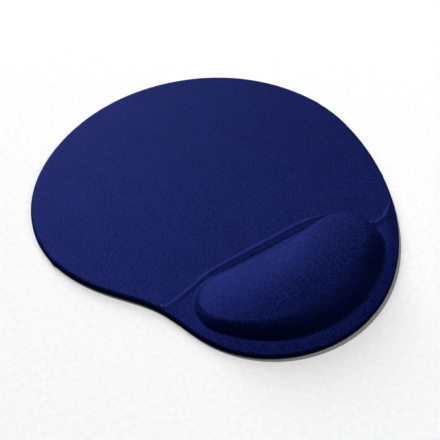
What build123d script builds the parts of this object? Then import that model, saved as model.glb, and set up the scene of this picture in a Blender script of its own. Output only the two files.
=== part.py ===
"""Mouse mat with an integral gel wrist rest, in millimetres.

The mat lies flat with its underside on Z = 0. The user sits at -Y, so the gel cushion is on the
-Y side and the mouse runs on the flat area behind it. The origin is the middle of the mat's
overall width and depth, on the surface that it rests on.

From the bottom up: non-slip base, bonding film, foam mat, lower pouch film, gel core, upper pouch
film, bonding film and the knitted cover, which wraps down over the edge of the foam.
"""
import math
import os

from build123d import *

os.makedirs("parts", exist_ok=True)

# Overall size
width = 220.0  # side to side, X
depth = 240.0  # from the user's edge to the far edge, Y
height = 21.0  # table to the summit of the cushion, Z

# Layer thicknesses
base_thickness = 0.8
foam_thickness = 2.2
bonding_film_thickness = 0.2
lower_pouch_thickness = 0.4
upper_pouch_thickness = 0.5
fabric_thickness = 0.6

# Rounded edge of the flat mat, and the flat strip kept between it and the pouch flange
rim_radius = 2.0
rim_strip = 0.5

# Outline of the mat: a wide round field for the mouse and a narrower round lobe for the wrist
lobe_radius = 81.7  # round the user's end
lobe_x = 6.0  # its centre, right of the middle of the mat
widest_left_y = 28.8
widest_right_y = 17.1
farthest_x = -0.7

# Cushion in plan: a bean with an arc in front, a shallow waist behind and two round ends
flange_width = 8.7  # welded flange of the pouch, between the cushion and the mat's edge
cushion_back = 73.0  # from the user's edge of the mat to the middle of the waist
waist_radius = 360.0
waist_x = 2.0
left_end_radius = 21.5
right_end_radius = 24.0

# Cushion in section
wall_taper = 36.0  # degrees that the walls lean in from upright
crown_radius = 260.0  # gentle crown over the top
crown_x = 4.0
crown_from_user_edge = 57.0  # summit of the crown, in from the user's edge
shoulder_radius = 10.0  # round between the wall and the crown

# Levels and insets that follow from the sizes above
foam_bottom = base_thickness + bonding_film_thickness
foam_top = foam_bottom + foam_thickness
cover_stack = fabric_thickness + bonding_film_thickness
mat_top = foam_top + cover_stack
pouch_seam = foam_top + lower_pouch_thickness
flange_top = pouch_seam + upper_pouch_thickness + cover_stack
gel_inset = cover_stack + upper_pouch_thickness

half_width = width / 2
half_depth = depth / 2
lobe_y = lobe_radius - half_depth
lobe_centre = (lobe_x, lobe_y)
cushion_front_radius = lobe_radius - flange_width
below = 1.0  # how far a cutting body runs past the face that it opens
outline_stations = 60  # points along the mat's outline that an inner layer's outline passes


def mat_plan(inset):
    """The mat's outline, moved in by inset."""
    far_side = [
        (half_width, widest_right_y),
        (half_width - 10.7, half_depth - 58.8),
        (half_width - 38.5, half_depth - 24.7),
        (farthest_x, half_depth),
        (50.7 - half_width, half_depth - 15.2),
        (10.2 - half_width, half_depth - 53.4),
        (-half_width, widest_left_y),
    ]
    neck = [
        (15.5 - half_width, lobe_y + 22),
        (lobe_x - 80, lobe_y - 7.5),
    ]
    lobe = [
        (lobe_x - 68, lobe_y - 41.3),
        (lobe_x - 45.4, lobe_y - 68.3),
        (lobe_x - 1.4, -half_depth),
        (lobe_x + 39.6, lobe_y - 70.2),
        (lobe_x + 77.8, lobe_y - 32.8),
        (half_width - 5.1, lobe_y + 16.1),
    ]
    with BuildSketch() as plan:
        with BuildLine():
            edge = Spline(*far_side, *neck, *lobe, periodic=True, mode=Mode.PRIVATE)
            stations = [count / outline_stations for count in range(outline_stations)]
            inward = [(edge % station).rotate(Axis.Z, 90) for station in stations]
            Spline(*[edge @ u + normal * inset for u, normal in zip(stations, inward)], periodic=True)
        make_face()
    return plan.sketch


def cushion_plan(inset):
    """The cushion's outline where it meets the flange, moved in by inset, or out if negative."""
    with BuildSketch() as plan:
        with Locations(lobe_centre):
            Circle(cushion_front_radius - inset)
        with Locations((waist_x, cushion_back - half_depth + waist_radius)):
            Circle(waist_radius + inset, mode=Mode.SUBTRACT)
        fillet(plan.vertices().sort_by(Axis.X)[0], left_end_radius - inset)
        fillet(plan.vertices().sort_by(Axis.X)[-1], right_end_radius - inset)
    return plan.sketch


def flange_plan(inset):
    """The pouch flange's outline, moved in by inset: round the cushion and inside the mat's rim."""
    with BuildSketch() as plan:
        add(cushion_plan(inset - flange_width))
        add(mat_plan(rim_radius + rim_strip + inset), mode=Mode.INTERSECT)
    return plan.sketch


def plate(plan, bottom, top):
    """A flat layer of one plan, from one level to another."""
    with BuildPart() as layer:
        with BuildSketch(Plane.XY.offset(bottom)):
            add(plan)
        extrude(amount=top - bottom)
    return layer.part


def dome(inset, bottom):
    """The cushion's body down to a level, with its outer face moved in by inset."""
    wall_inset = inset / math.cos(math.radians(wall_taper))
    lean = (height - flange_top) * math.tan(math.radians(wall_taper))
    crown_centre = (crown_x, crown_from_user_edge - half_depth, height - crown_radius)
    with BuildPart() as body:
        with BuildSketch(Plane.XY.offset(flange_top)):
            add(cushion_plan(wall_inset))
        with BuildSketch(Plane.XY.offset(height)):
            add(cushion_plan(wall_inset + lean))
        loft(ruled=True)
        with Locations(crown_centre):
            Sphere(crown_radius - inset, mode=Mode.INTERSECT)
        fillet(body.faces().sort_by(Axis.Z)[-1].edges(), shoulder_radius - inset)
        add(plate(cushion_plan(wall_inset), bottom, flange_top))
    return body.part


def envelope(inset, bottom):
    """Everything inside the cover's outer face, with that face moved in by inset."""
    with BuildPart() as body:
        add(plate(mat_plan(inset), bottom, mat_top - inset))
        fillet(body.faces().sort_by(Axis.Z)[-1].edges(), rim_radius - inset)
        add(plate(flange_plan(inset), bottom, flange_top - inset))
        add(dome(inset, bottom))
    return body.part


with BuildPart() as non_slip_base:
    add(plate(mat_plan(0), 0, base_thickness))

with BuildPart() as base_bonding_film:
    add(plate(mat_plan(0), base_thickness, foam_bottom))

with BuildPart() as foam_mat:
    add(envelope(cover_stack, foam_bottom))
    with BuildSketch(Plane.XY.offset(foam_top)):
        add(mat_plan(0))
    extrude(amount=height, mode=Mode.SUBTRACT)

with BuildPart() as gel_pouch_lower_film:
    add(plate(flange_plan(cover_stack), foam_top, pouch_seam))

with BuildPart() as gel_core:
    add(dome(gel_inset, pouch_seam))

with BuildPart() as gel_pouch_upper_film:
    add(plate(flange_plan(cover_stack), pouch_seam, flange_top - cover_stack))
    add(dome(cover_stack, pouch_seam))
    add(dome(gel_inset, pouch_seam - below), mode=Mode.SUBTRACT)

with BuildPart() as cover_bonding_film:
    add(envelope(fabric_thickness, foam_bottom))
    add(envelope(cover_stack, foam_bottom - below), mode=Mode.SUBTRACT)

with BuildPart() as fabric_cover:
    add(envelope(0, foam_bottom))
    add(envelope(fabric_thickness, foam_bottom - below), mode=Mode.SUBTRACT)

pieces = {
    "non_slip_base": non_slip_base,
    "base_bonding_film": base_bonding_film,
    "foam_mat": foam_mat,
    "gel_pouch_lower_film": gel_pouch_lower_film,
    "gel_core": gel_core,
    "gel_pouch_upper_film": gel_pouch_upper_film,
    "cover_bonding_film": cover_bonding_film,
    "fabric_cover": fabric_cover,
}
for name, piece in pieces.items():
    piece.part.label = name
    export_step(piece.part, f"parts/{name}.step")
    print(name, round(piece.part.volume), piece.part.is_valid, len(piece.part.solids()))
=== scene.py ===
"""Looks of the mouse mat with its integral gel wrist rest. Lengths are in metres.

The knitted cover, its bonding film, the gel pouch's upper film, the gel and the foam are built here
as nested skins: one outer surface is worked out from the frame's outlines, and each layer is that
surface moved in along its normals by the thickness of what lies over it. The flat films and the
base keep their CAD shapes.
"""
import math

import bpy
import numpy as np
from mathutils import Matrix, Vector


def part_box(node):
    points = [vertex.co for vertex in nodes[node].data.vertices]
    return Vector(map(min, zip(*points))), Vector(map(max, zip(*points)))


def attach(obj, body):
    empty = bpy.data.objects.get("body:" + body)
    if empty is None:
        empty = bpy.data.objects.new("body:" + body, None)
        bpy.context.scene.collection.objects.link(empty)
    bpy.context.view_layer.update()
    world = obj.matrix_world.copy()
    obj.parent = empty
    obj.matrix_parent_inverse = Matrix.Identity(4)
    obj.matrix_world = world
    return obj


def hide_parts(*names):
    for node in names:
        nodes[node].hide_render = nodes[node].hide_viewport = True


MM = 0.001

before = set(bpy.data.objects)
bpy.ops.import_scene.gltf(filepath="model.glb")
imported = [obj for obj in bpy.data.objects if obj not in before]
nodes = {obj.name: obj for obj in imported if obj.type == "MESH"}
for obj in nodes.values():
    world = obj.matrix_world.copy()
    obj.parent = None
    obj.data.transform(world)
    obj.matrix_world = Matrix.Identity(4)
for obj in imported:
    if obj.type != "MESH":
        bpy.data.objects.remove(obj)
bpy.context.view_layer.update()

# Levels and thicknesses, read from the frame
base_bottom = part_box("non_slip_base")[0].z
foam_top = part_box("foam_mat")[1].z
skirt_bottom, summit = (corner.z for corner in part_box("fabric_cover"))
pouch_seam, pouch_summit = (corner.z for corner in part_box("gel_pouch_upper_film"))
gel_bottom, gel_summit = (corner.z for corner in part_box("gel_core"))
knit_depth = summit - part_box("cover_bonding_film")[1].z  # from the knit's outer face to the film's
film_depth = summit - pouch_summit
pouch_depth = summit - gel_summit
mat_top = foam_top + film_depth

# Edge of the mat, and the pouch's weld ridge with the crease round the cushion
rim_radius = 2.0 * MM
ridge_height = 0.9 * MM
ridge_slope = 1.5 * MM  # run of the ridge's outer side
bead_height = 0.35 * MM  # rounded bead along the ridge
groove_depth = 0.22 * MM  # pressed line just outside the ridge
valley_depth = 1.6 * MM  # sink between the ridge and the waist of the cushion
pressed_least = 0.45 * MM  # least rise over the mat's top where the layers are pressed together
front_roll = 6.0 * MM  # how far in from the rim the front flange reaches its height

# Cushion in section
crown = Vector((14, -74)) * MM  # summit in plan
crown_left = 215 * MM  # radius of the crown from the summit to the left
crown_right = 230 * MM
crown_front = 80 * MM
crown_back = 72 * MM
saddle_depth = 2.6 * MM  # dip of the crown towards the waist
wall_foot = 0.6 * MM  # level of the wall's foot over the mat's top
shoulder = 6.0 * MM  # reach of the round between the wall and the crown
crease_round = 1.4 * MM  # reach of the round between the wall and the flange
cad_wall_taper = 36.0  # degrees that the CAD dome's walls lean in from upright
WALL_SLOPES = (1.5, 2.4, 1.1, 2.3, 2.2, 1.9, 1.3, 1.1)  # every 45 degrees from +X
wall_middle = np.array([4, -76]) * MM  # plan point that those directions go round
slope_spread = 34  # degrees over which one slope fades into the next

# The layers inside
least_film = 0.05 * MM  # thickness of the pouch film where it is pressed flat
least_gel = 0.3 * MM  # thickness of the gel at its edge
foam_edge_rings = 14  # rings of the top that the foam follows before it runs flat

# Where the valley beside the ridge is deep: behind the waist, and at the cushion's right back
waist_x, waist_reach = 4 * MM, 25 * MM
waist_y, waist_run = -66 * MM, 6 * MM
far_end, far_reach = Vector((62, -62)) * MM, Vector((9, 11)) * MM

# Line of the weld ridge behind the cushion, from the left edge of the mat to the right one
RIDGE_LINE = [
    (-84, -46), (-76, -47.6), (-69.6, -47.2), (-64, -46.2), (-58.3, -45.2), (-50, -43), (-41.6, -40.6),
    (-34, -39.2), (-20, -38.7), (-0.8, -38.4), (14, -38.2), (29.4, -37.9), (38.7, -38.6), (46.9, -40.6),
    (52.6, -44.4), (58.6, -50.2), (63.1, -54.8), (67.2, -60.0), (72.0, -63.3), (78.6, -62.7),
    (83.3, -59.9), (88.5, -56.4), (93.3, -52.6), (104, -44),
]  # fmt: skip
RIDGE_FRONT = [(130, -60), (130, -150), (-110, -150), (-110, -50)]

STAR = np.array([5.0, -78.0]) * MM  # plan point that every ring goes round

# Rings of the outer face's top, from the rounded rim to the star point
TO_RIDGE_RINGS = (10, 26, 10)  # edge strip, field and foot of the ridge
TO_CREASE_RINGS = 20
WALL_RINGS = 26
CROWN_RINGS = 22
wall_band = 10 * MM  # width in plan of the wall's rings


def smooth_step(t):
    t = np.clip(t, 0, 1)
    return t * t * (3 - 2 * t)


def bell(t):
    return np.exp(-t * t)


def smooth_min(a, b, reach):
    blend = np.clip(0.5 + 0.5 * (b - a) / reach, 0, 1)
    return b * (1 - blend) + a * blend - reach * blend * (1 - blend)


def smooth_max(a, b, reach):
    return -smooth_min(-a, -b, reach)


# Angles of the rings' spokes: closest together where the ridge runs out to the edge
def spoke_angles():
    spans = [
        (-180, 6, 0.85),
        (6, 24, 0.36),
        (24, 50, 0.9),
        (50, 140, 1.3),
        (140, 166, 0.36),
        (166, 180, 0.85),
    ]
    angles = []
    for start, end, step in spans:
        count = round((end - start) / step)
        angles += [start + (end - start) * index / count for index in range(count)]
    return np.radians(angles)


ANGLES = spoke_angles()
SPOKES = np.stack([np.cos(ANGLES), np.sin(ANGLES)], 1)


def radii(points):
    """How far a closed outline lies from the star point along each spoke."""
    points = np.asarray(points)
    steps = np.linspace(0, 1, 12, endpoint=False)[None, :, None]
    dense = (points[:, None] * (1 - steps) + np.roll(points, -1, 0)[:, None] * steps).reshape(-1, 2) - STAR
    turn = np.arctan2(dense[:, 1], dense[:, 0])
    order = np.argsort(turn)
    return np.interp(ANGLES, turn[order], np.hypot(dense[:, 0], dense[:, 1])[order], period=2 * math.pi)


def ring(reach):
    return STAR + SPOKES * reach[:, None]


def outward(points):
    """Unit normals of a ring in plan, pointing out."""
    along = np.roll(points, -1, 0) - np.roll(points, 1, 0)
    normal = np.stack([along[:, 1], -along[:, 0]], 1)
    return normal / np.linalg.norm(normal, axis=1)[:, None]


def node_outline(name, level):
    """The corners of a CAD node's outline at one level, in order round the star point."""
    points = np.array([v.co[:2] for v in nodes[name].data.vertices if abs(v.co.z - level) < 1e-6])
    turn = np.arctan2(points[:, 1] - STAR[1], points[:, 0] - STAR[0])
    return points[np.argsort(turn)]


def eased(reach, passes=3):
    for _ in range(passes):
        reach = (np.roll(reach, 1) + 2 * reach + np.roll(reach, -1)) / 4
    return reach


def signed_inset(points, outline):
    """How far inside a closed outline each plan point lies, negative if outside."""
    start, end = outline, np.roll(outline, -1, 0)
    side = end - start
    length = (side**2).sum(1)
    result = np.empty(len(points))
    for first in range(0, len(points), 4000):
        part = points[first : first + 4000, None]
        along = np.clip(((part - start) * side).sum(2) / length, 0, 1)
        gap = part - (start + along[..., None] * side)
        crossing = (start[:, 1] > part[..., 1]) != (end[:, 1] > part[..., 1])
        rise = np.where(side[:, 1] == 0, 1e-12, side[:, 1])
        meets = part[..., 0] < start[:, 0] + (part[..., 1] - start[:, 1]) / rise * side[:, 0]
        inside = (crossing & meets).sum(1) % 2 == 1
        result[first : first + 4000] = np.sqrt((gap**2).sum(2).min(1)) * np.where(inside, 1, -1)
    return result


mat_edge = ring(eased(radii(node_outline("non_slip_base", base_bottom)), 2))
gel_edge = ring(eased(radii(node_outline("gel_core", gel_bottom)), 6))
crease = gel_edge + outward(gel_edge) * (pouch_depth / math.cos(math.radians(cad_wall_taper)))
crease_reach = eased(radii(crease), 2)
crease = ring(crease_reach)
ridge_area = np.array(RIDGE_LINE + RIDGE_FRONT) * MM


def height(points):
    """Level of the knit's outer face over each plan point inside the rounded rim."""
    x, y = points[:, 0], points[:, 1]
    in_crease = signed_inset(points, crease)
    in_ridge = signed_inset(points, ridge_area)
    in_edge = signed_inset(points, mat_edge)
    waist = bell((x - waist_x) / waist_reach) * smooth_step((y - waist_y) / waist_run)
    right_back = bell((x - far_end.x) / far_reach.x) * bell((y - far_end.y) / far_reach.y)

    flange = ridge_height * smooth_step(in_ridge / ridge_slope + 0.5)
    flange += bead_height * (1 + 2.2 * right_back) * bell((in_ridge - 1.9 * MM) / (1.3 * MM))
    flange -= groove_depth * bell((in_ridge + 1.1 * MM) / (0.7 * MM))
    flange -= valley_depth * np.maximum(waist, right_back) * bell((in_crease + 0.3 * MM) / (1.9 * MM))
    roll = np.clip((in_edge - rim_radius) / front_roll, 0, 1)
    flange = np.maximum(flange, pressed_least * smooth_step(in_ridge / (2 * ridge_slope)))
    flange *= 1 - (1 - roll) ** 2
    level = mat_top + flange

    aside, ahead = x - crown.x, y - crown.y
    top = summit - aside**2 / (2 * np.where(aside < 0, crown_left, crown_right))
    top -= ahead**2 / (2 * np.where(ahead < 0, crown_front, crown_back))
    top -= saddle_depth * bell((x + 2 * MM) / (24 * MM)) * smooth_step((y + 82 * MM) / (34 * MM))
    turn = np.degrees(np.arctan2((y - wall_middle[1]) * 1.6, x - wall_middle[0]))
    off = (turn[:, None] - np.arange(0, 360, 45) + 180) % 360 - 180
    weight = bell(off / slope_spread)
    slope = (weight * WALL_SLOPES).sum(1) / weight.sum(1)
    wall = mat_top + wall_foot + slope * in_crease
    dome = smooth_min(top, wall, shoulder)
    return np.where(in_crease > -6 * MM, smooth_max(level, dome, crease_round), level)


def outer_rings():
    """The outer face as rings, from the bottom of the skirt inwards, and the first ring of its top."""
    out = outward(mat_edge)
    rim = [(0, level) for level in np.linspace(skirt_bottom, mat_top - rim_radius, 3)]
    for turn in np.radians([12, 24, 36, 48, 60, 72, 82]):
        rim.append((rim_radius * (1 - math.cos(turn)), mat_top - rim_radius * (1 - math.sin(turn))))
    rings = [(mat_edge - out * inset, np.full(len(mat_edge), level)) for inset, level in rim]

    inner_rim = mat_edge - out * rim_radius
    rim_reach = np.hypot(*(inner_rim - STAR).T)
    middle = crease_reach + 0.5 * (rim_reach - crease_reach)
    ridge_reach = radii(ridge_area)
    ridge_reach = eased(np.where(ridge_reach < rim_reach - 2 * MM, ridge_reach, middle), 4)
    ridge_reach = np.clip(ridge_reach, crease_reach + 1.5 * MM, rim_reach - 1.5 * MM)
    field = rim_reach - ridge_reach
    stops = [
        inner_rim,
        ring(rim_reach - np.minimum(6 * MM, field * 0.3)),
        ring(ridge_reach + np.minimum(3 * MM, field * 0.4)),
        ring(ridge_reach),
        crease,
        ring(crease_reach - wall_band),
        np.broadcast_to(STAR, crease.shape),
    ]
    counts = (*TO_RIDGE_RINGS, TO_CREASE_RINGS, WALL_RINGS, CROWN_RINGS)
    plan = []
    for outer, inner, count in zip(stops, stops[1:], counts):
        for share in np.linspace(0, 1, count, endpoint=False):
            plan.append(outer + share * (inner - outer))
    plan = np.concatenate(plan)
    levels = height(plan).reshape(-1, len(ANGLES))
    rings += list(zip(plan.reshape(-1, len(ANGLES), 2), levels))
    places = np.stack([np.concatenate([p, z[:, None]], 1) for p, z in rings])
    return places, len(rim)


OUTER, FIRST_TOP = outer_rings()
FIRST_OF_RIDGE = FIRST_TOP + sum(TO_RIDGE_RINGS)
FIRST_IN_CREASE = FIRST_OF_RIDGE + TO_CREASE_RINGS + 1
CENTRE = np.array([*STAR, height(STAR[None])[0]])


def normals(places):
    """Unit normals of the outer face at its rings' points, pointing out."""
    along = np.roll(places, -1, 1) - np.roll(places, 1, 1)
    inner = np.concatenate([places[1:], np.broadcast_to(CENTRE, (1,) + places.shape[1:])])
    outer = np.concatenate([places[:1], places[:-1]])
    normal = np.cross(along, inner - outer)
    return normal / np.linalg.norm(normal, axis=2)[..., None]


NORMALS = normals(OUTER)


def skin(depth, floor=None):
    """The outer face moved in by a depth, with its skirt ending level, and its middle point."""
    places = OUTER - NORMALS * depth
    places[0, :, 2] = skirt_bottom
    centre = CENTRE - np.array([0, 0, depth])
    if floor is not None:
        places[..., 2] = np.maximum(places[..., 2], floor)
    return places, centre


def closed_between(name, outer, inner):
    """A closed piece between two sets of rings, the outside and the inside, each with its middle point."""
    (top, top_centre), (low, low_centre) = outer, inner
    count, spokes = top.shape[0], top.shape[1]
    points = np.concatenate([top.reshape(-1, 3), [top_centre], low.reshape(-1, 3), [low_centre]])
    half = count * spokes + 1
    here = np.arange(spokes)
    after = (here + 1) % spokes
    faces = []
    for level in range(count - 1):
        a, b = level * spokes, (level + 1) * spokes
        faces.append(np.stack([a + here, a + after, b + after, b + here], 1))
    walls = np.concatenate(faces)
    last = (count - 1) * spokes
    rim = np.stack([after, here, here + half, after + half], 1)
    quads = np.concatenate([walls, walls[:, ::-1] + half, rim])
    fan = np.stack([last + here, last + after, np.full(spokes, half - 1)], 1)
    fans = np.concatenate([fan, fan[:, ::-1] + half])
    mesh = bpy.data.meshes.new(name)
    mesh.from_pydata(points.tolist(), [], quads.tolist() + fans.tolist())
    mesh.validate()
    mesh.polygons.foreach_set("use_smooth", np.ones(len(mesh.polygons), bool))
    mesh.set_sharp_from_angle(angle=math.radians(50))
    piece = bpy.data.objects.new(name, mesh)
    bpy.context.scene.collection.objects.link(piece)
    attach(piece, "root")
    return piece


def flat_floor(rings, level):
    """Rings straight below others on one level, with their middle point."""
    places = rings.copy()
    places[..., 2] = level
    return places, np.array([*STAR, level])


# Materials
class Nodes:
    """A material's node tree, with short calls to add and join its nodes."""

    def __init__(self, name):
        self.material = bpy.data.materials.new(name)
        self.material.use_nodes = True
        self.tree = self.material.node_tree
        self.shader = self.tree.nodes["Principled BSDF"]
        self.place = self.add("ShaderNodeTexCoord").outputs["Object"]

    def add(self, kind, inputs=None, **settings):
        node = self.tree.nodes.new(kind)
        for key, value in settings.items():
            setattr(node, key, value)
        for key, value in (inputs or {}).items():
            if isinstance(value, bpy.types.NodeSocket):
                self.tree.links.new(value, node.inputs[key])
            else:
                node.inputs[key].default_value = value
        return node

    def noise(self, scale, detail=3, roughness=0.55):
        inputs = {"Vector": self.place, "Scale": scale, "Detail": detail, "Roughness": roughness}
        return self.add("ShaderNodeTexNoise", inputs).outputs["Fac"]

    def ramp(self, value, low, high):
        """Maps 0.3 to 0.7 of a noise to a range of numbers."""
        inputs = {"Value": value, "From Min": 0.3, "From Max": 0.7, "To Min": low, "To Max": high}
        return self.add("ShaderNodeMapRange", inputs).outputs["Result"]

    def mix(self, share, first, second):
        node = self.add("ShaderNodeMix", data_type="RGBA")
        for socket, value in zip((node.inputs[0], node.inputs[6], node.inputs[7]), (share, first, second)):
            if isinstance(value, bpy.types.NodeSocket):
                self.tree.links.new(value, socket)
            else:
                socket.default_value = value
        return node.outputs[2]

    def math(self, operation, first, second=0.0):
        return self.add("ShaderNodeMath", {0: first, 1: second}, operation=operation).outputs[0]

    def bump(self, height_value, strength, distance, after=None):
        inputs = {"Height": height_value, "Strength": strength, "Distance": distance}
        if after is not None:
            inputs["Normal"] = after
        return self.add("ShaderNodeBump", inputs).outputs["Normal"]

    def set(self, **values):
        for key, value in values.items():
            socket = self.shader.inputs[key.replace("_", " ")]
            if isinstance(value, bpy.types.NodeSocket):
                self.tree.links.new(value, socket)
            else:
                socket.default_value = value
        return self.material


def knit_material():
    """Fine navy weft knit: rows of small stitches, uneven dye and a soft nap."""
    m = Nodes("knit_navy")
    pitch = 0.55 * MM
    course_turns = 2 * math.pi / pitch
    wale_turns = 0.8 * course_turns
    spread = m.add("ShaderNodeSeparateXYZ", {0: m.place})
    wobble = m.math("MULTIPLY", m.math("SUBTRACT", m.noise(900, 2), 0.5), 2.4)
    course = m.math("SINE", m.math("ADD", m.math("MULTIPLY", spread.outputs["Y"], course_turns), wobble))
    wale = m.math("SINE", m.math("ADD", m.math("MULTIPLY", spread.outputs["X"], wale_turns), wobble))
    stitch = m.math("MULTIPLY", course, wale)
    grain = m.noise(800, 4, 0.8)
    mottle = m.noise(60, 4, 0.6)
    uneven = m.math("ADD", m.math("MULTIPLY", stitch, 0.10), m.math("MULTIPLY", mottle, 0.1))
    shade = m.math("ADD", uneven, grain)
    limits = {"Value": shade, "From Min": 0.45, "From Max": 0.67}
    share = m.add("ShaderNodeMapRange", limits).outputs["Result"]
    colour = m.mix(share, (0.0004, 0.0016, 0.030, 1), (0.0062, 0.0112, 0.086, 1))
    relief = m.math("ADD", m.math("MULTIPLY", stitch, 0.5), grain)
    m.set(
        Base_Color=colour,
        Roughness=m.ramp(grain, 0.50, 0.68),
        Specular_IOR_Level=0.03,
        Metallic=0.5,
        Sheen_Weight=0.012,
        Sheen_Roughness=0.45,
        Normal=m.bump(relief, 0.35, 0.16 * MM, m.bump(mottle, 0.15, 0.5 * MM)),
    )
    m.shader.inputs["Sheen Tint"].default_value = (0.08, 0.16, 0.95, 1)
    m.shader.inputs["Specular Tint"].default_value = (0.62, 0.68, 1.0, 1)
    return m.material


def rubber_material():
    """Black non-slip rubber with a fine pebbled face and dusty wear."""
    m = Nodes("base_rubber")
    pebbles = m.add("ShaderNodeTexVoronoi", {"Vector": m.place, "Scale": 620.0, "Randomness": 0.55})
    dust = m.noise(35, 5, 0.6)
    colour = m.mix(m.ramp(dust, 0.0, 1.0), (0.006, 0.0065, 0.008, 1), (0.016, 0.017, 0.020, 1))
    grit = m.noise(2600, 3, 0.6)
    m.set(
        Base_Color=colour,
        Roughness=m.ramp(dust, 0.62, 0.85),
        Specular_IOR_Level=0.4,
        Normal=m.bump(pebbles.outputs["Distance"], 0.6, 0.25 * MM, m.bump(grit, 0.2, 0.05 * MM)),
    )
    return m.material


def film_material(name, thin, thick, roughness):
    """Clear-coloured film with flow streaks and faint wrinkles."""
    m = Nodes(name)
    streak = m.noise(140, 4, 0.6)
    m.set(
        Base_Color=m.mix(m.ramp(streak, 0.0, 1.0), thin, thick),
        Roughness=m.ramp(streak, roughness, roughness + 0.15),
        Normal=m.bump(m.noise(420, 3), 0.25, 0.08 * MM),
    )
    return m.material


def foam_material():
    """Charcoal closed-cell foam with fine open pores at its cut faces."""
    m = Nodes("foam_charcoal")
    pores = m.add("ShaderNodeTexVoronoi", {"Vector": m.place, "Scale": 1500.0})
    tone = m.noise(90, 5, 0.65)
    cell = m.math("MULTIPLY", pores.outputs["Distance"], 1.4)
    colour = m.mix(cell, (0.012, 0.012, 0.014, 1), (0.045, 0.046, 0.050, 1))
    m.set(
        Base_Color=m.mix(m.ramp(tone, 0.0, 0.35), colour, (0.06, 0.062, 0.068, 1)),
        Roughness=m.ramp(tone, 0.82, 0.96),
        Specular_IOR_Level=0.25,
        Normal=m.bump(pores.outputs["Distance"], 0.7, 0.3 * MM),
    )
    return m.material


def gel_material():
    """Soft blue silicone gel, cloudy, with a slick skin."""
    m = Nodes("gel_blue")
    cloud = m.noise(70, 5, 0.6)
    m.set(
        Base_Color=m.mix(m.ramp(cloud, 0.0, 1.0), (0.05, 0.13, 0.34, 1), (0.09, 0.21, 0.46, 1)),
        Roughness=m.ramp(cloud, 0.14, 0.28),
        Subsurface_Weight=0.35,
        Subsurface_Scale=0.008,
        Normal=m.bump(m.noise(240, 3), 0.2, 0.12 * MM),
    )
    return m.material


# The layers
cover = closed_between("knit_cover", (OUTER, CENTRE), skin(knit_depth))
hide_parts("fabric_cover")
cover.data.materials.append(knit_material())

hot_melt = film_material("hot_melt_film", (0.010, 0.012, 0.030, 1), (0.020, 0.024, 0.050, 1), 0.45)
cover_film = closed_between("cover_film", skin(knit_depth), skin(film_depth))
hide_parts("cover_bonding_film")
cover_film.data.materials.append(hot_melt)

pouch_outside, pouch_centre = skin(film_depth, pouch_seam + least_film)
pouch_inside, gel_centre = skin(pouch_depth, pouch_seam)
pouch = closed_between(
    "gel_pouch_skin",
    (pouch_outside[FIRST_OF_RIDGE:], pouch_centre),
    (pouch_inside[FIRST_OF_RIDGE:], gel_centre),
)
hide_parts("gel_pouch_upper_film")
pouch_film = film_material("pouch_film", (0.16, 0.19, 0.26, 1), (0.24, 0.28, 0.36, 1), 0.16)
pouch.data.materials.append(pouch_film)

gel_skin, gel_centre = skin(pouch_depth, pouch_seam + least_gel)
gel_top = gel_skin[FIRST_IN_CREASE:]
gel = closed_between("gel_cushion", (gel_top, gel_centre), flat_floor(gel_top, pouch_seam))
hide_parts("gel_core")
gel.data.materials.append(gel_material())

foam_skin, _ = skin(film_depth)
foam_rings = foam_skin[: FIRST_TOP + foam_edge_rings].copy()
foam_rings[..., 2] = np.minimum(foam_rings[..., 2], foam_top)
foam_floor = foam_rings.copy()
foam_floor[..., 2] = skirt_bottom
foam = closed_between(
    "foam_sheet",
    (foam_rings, np.array([*STAR, foam_top])),
    (foam_floor, np.array([*STAR, skirt_bottom])),
)
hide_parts("foam_mat")
foam.data.materials.append(foam_material())

for name, material in {
    "non_slip_base": rubber_material(),
    "base_bonding_film": hot_melt,
    "gel_pouch_lower_film": pouch_film,
}.items():
    mesh = nodes[name].data
    mesh.materials.clear()
    mesh.materials.append(material)


# Floor, lights and camera
def paper_material():
    """Matt white paper with a faint fibre."""
    m = Nodes("white_paper")
    fibre = m.noise(300, 4)
    m.set(
        Base_Color=m.mix(m.ramp(fibre, 0.0, 1.0), (0.65, 0.65, 0.66, 1), (0.70, 0.70, 0.70, 1)),
        Roughness=0.9,
        Specular_IOR_Level=0.1,
        Normal=m.bump(fibre, 0.05, 0.1 * MM),
    )
    return m.material


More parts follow.
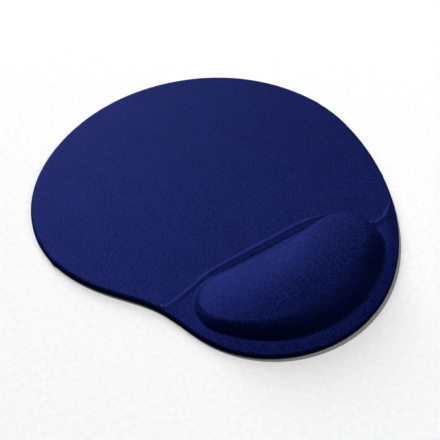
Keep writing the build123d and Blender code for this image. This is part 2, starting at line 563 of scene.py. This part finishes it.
def paper_floor():
    """A wide pale floor that the mat lies on. It shows no reflection or tint on the fabric."""
    half = 4.0
    mesh = bpy.data.meshes.new("paper_floor")
    corners = [(-half, -half), (half, -half), (half, half), (-half, half)]
    mesh.from_pydata([(x, y, base_bottom) for x, y in corners], [], [(0, 1, 2, 3)])
    floor = bpy.data.objects.new("paper_floor", mesh)
    bpy.context.scene.collection.objects.link(floor)
    mesh.materials.append(paper_material())
    floor.visible_diffuse = False
    floor.visible_glossy = False


def toward(azimuth, elevation):
    """Unit vector from the mat towards an azimuth, anticlockwise from +X, and an elevation."""
    a, e = math.radians(azimuth), math.radians(elevation)
    return Vector((math.cos(a) * math.cos(e), math.sin(a) * math.cos(e), math.sin(e)))


def lamp(name, kind, azimuth, elevation, distance, energy, size):
    """A white lamp that faces the mat. Size is a sun's angle in degrees, or a disk's diameter."""
    data = bpy.data.lights.new(name, kind)
    data.energy = energy
    if kind == "SUN":
        data.angle = math.radians(size)
    else:
        data.shape = "DISK"
        data.size = size
    light = bpy.data.objects.new(name, data)
    light.location = toward(azimuth, elevation) * distance
    light.rotation_euler = toward(azimuth, elevation).to_track_quat("Z", "Y").to_euler()
    bpy.context.scene.collection.objects.link(light)


paper_floor()
lamp("key_sun", "SUN", 94, 50, 2.0, 3.0, 2.5)
lamp("back_softbox", "AREA", 80, 21, 3.0, 112, 1.6)
lamp("right_fill", "AREA", -40, 50, 1.4, 5.5, 0.9)

world = bpy.data.worlds.new("studio")
world.use_nodes = True
world.node_tree.nodes["Background"].inputs["Color"].default_value = (1, 1, 1, 1)
world.node_tree.nodes["Background"].inputs["Strength"].default_value = 0.08
bpy.context.scene.world = world
bpy.context.scene.view_settings.view_transform = "Standard"

CAMERA_AZIMUTH = -33.0
CAMERA_ELEVATION = 50.0
CAMERA_DISTANCE = 0.62365
FOCAL_PIXELS = 1000.0
AIM = Vector((-0.0059, -0.0072, 0.0))
camera_data = bpy.data.cameras.new("camera")
camera_data.sensor_width = 36.0
camera_data.lens = FOCAL_PIXELS / 440 * camera_data.sensor_width
camera = bpy.data.objects.new("camera", camera_data)
back = toward(CAMERA_AZIMUTH - 90, CAMERA_ELEVATION)
camera.location = AIM + back * CAMERA_DISTANCE
camera.rotation_euler = back.to_track_quat("Z", "Y").to_euler()
bpy.context.scene.collection.objects.link(camera)
bpy.context.scene.camera = camera
